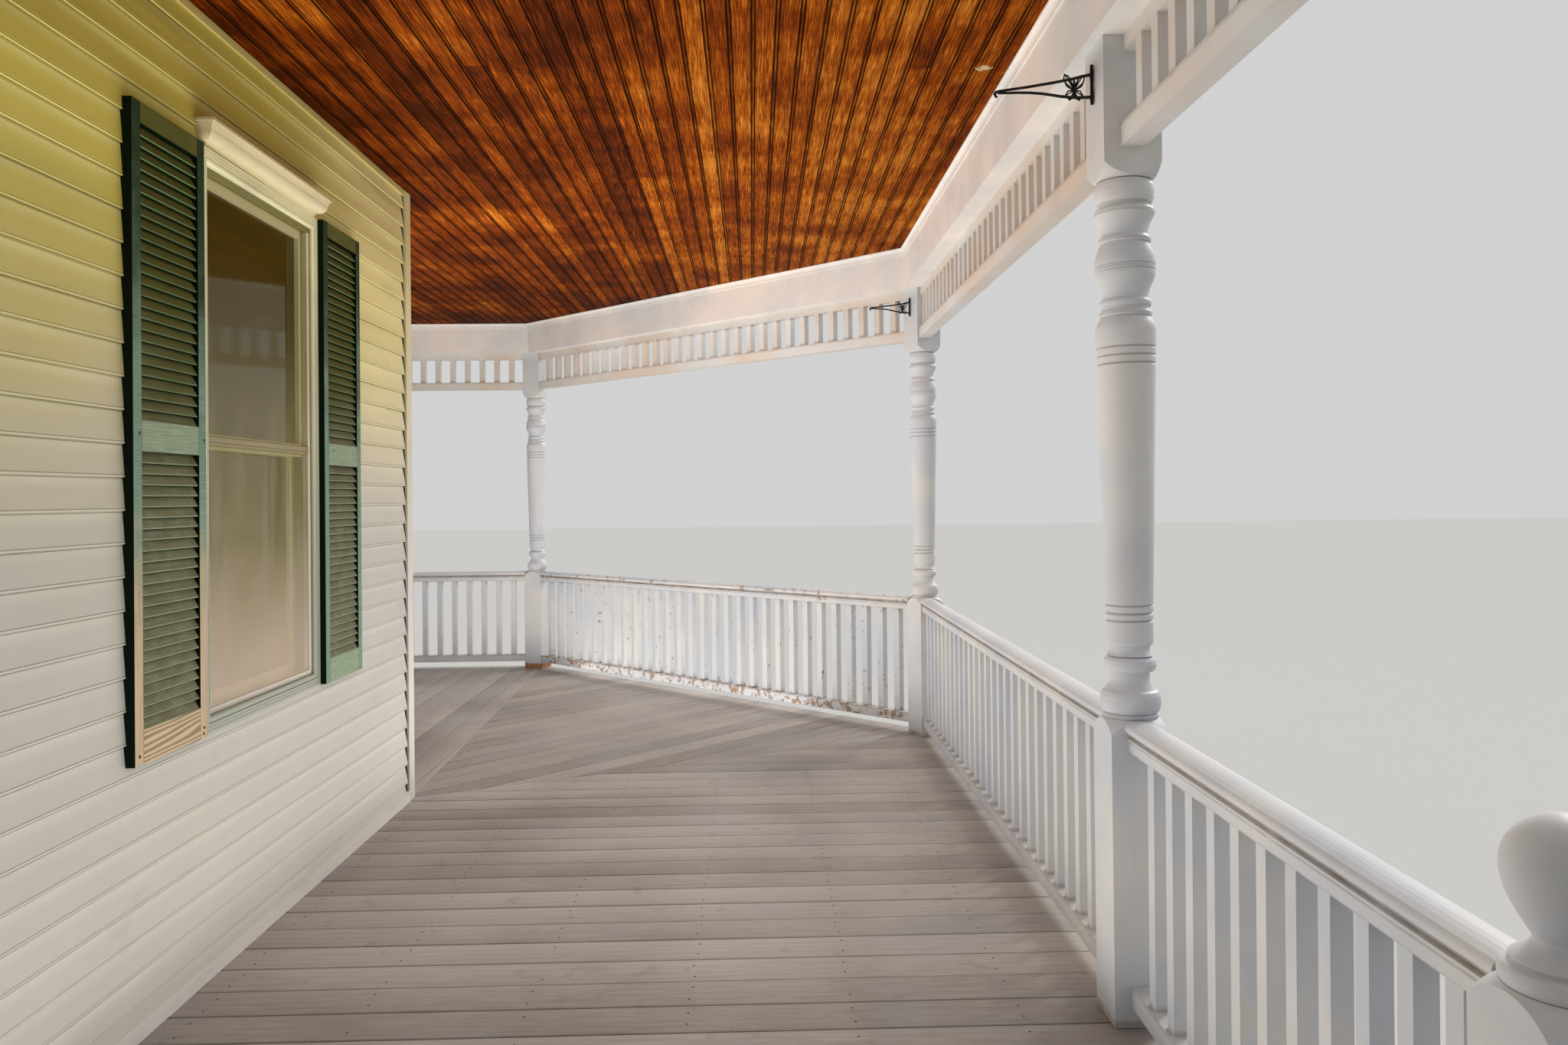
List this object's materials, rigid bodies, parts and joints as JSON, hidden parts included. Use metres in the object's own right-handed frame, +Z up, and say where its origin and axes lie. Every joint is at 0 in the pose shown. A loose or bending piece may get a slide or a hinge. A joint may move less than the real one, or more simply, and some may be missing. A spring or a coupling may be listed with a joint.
{
  "type": "front porch",
  "caption": "Wraparound house porch corner with turned posts, railings, spindle friezes, boarded floor and ceiling, low roof, and siding walls with a shuttered window.",
  "frame": {"origin": "middle of the whole plan at ground level", "axes": "+Z up, +X from the front wall out to the front posts, +Y along the front wall to the corner"},
  "size_m": [6.353, 9.611, 3.875],
  "materials": {
    "porch_paint": "white paint, worn and peeling in places",
    "siding": "cream vinyl lap siding, low sheen",
    "vinyl_trim": "pale vinyl trim",
    "crown_trim": "cream moulded trim",
    "sash_paint": "aged paint",
    "glass": "clear",
    "screen": "fine mesh in a pale frame",
    "shutter_paint": "dark green paint, bare at the foot",
    "deck_boards": "grey-brown stained boards",
    "ceiling_boards": "reddish-brown stained beaded boards",
    "frame_wood": "plain timber",
    "foundation": "rough grey masonry",
    "roofing": "grey shingles",
    "black_iron": "black painted iron"
  },
  "bodies": {
    "root": {"front_wall": "siding", "side_wall": "siding", "foundation": "foundation", "corner_board": "vinyl_trim", "base_trim": "vinyl_trim", "window_frame": "vinyl_trim", "window_sashes": "sash_paint", "window_glass": "glass", "insect_screen": "screen", "window_crown": "crown_trim", "shutter_left": "shutter_paint", "shutter_right": "shutter_paint", "deck_front": "deck_boards", "deck_corner": "deck_boards", "deck_side": "deck_boards", "floor_frame": "frame_wood", "piers": "foundation", "skirt": "porch_paint", "post_a": "porch_paint", "post_b": "porch_paint", "post_c": "porch_paint", "post_d": "porch_paint", "post_e": "porch_paint", "newel_post": "porch_paint", "rail_newel_b": "porch_paint", "rail_b_c": "porch_paint", "rail_c_d": "porch_paint", "rail_d_e": "porch_paint", "frieze_a_b": "porch_paint", "frieze_b_c": "porch_paint", "frieze_c_d": "porch_paint", "frieze_d_e": "porch_paint", "beam_front": "porch_paint", "beam_corner": "porch_paint", "beam_side": "porch_paint", "ceiling": "ceiling_boards", "ceiling_moulding": "porch_paint", "roof_front": "roofing", "roof_corner": "roofing", "roof_side": "roofing", "eave_trim": "porch_paint", "roof_ends": "porch_paint", "plant_bracket_b": "black_iron", "plant_bracket_c": "black_iron", "rail_clip_b": "black_iron", "rail_clip_c": "black_iron"}
  },
  "joints": []
}
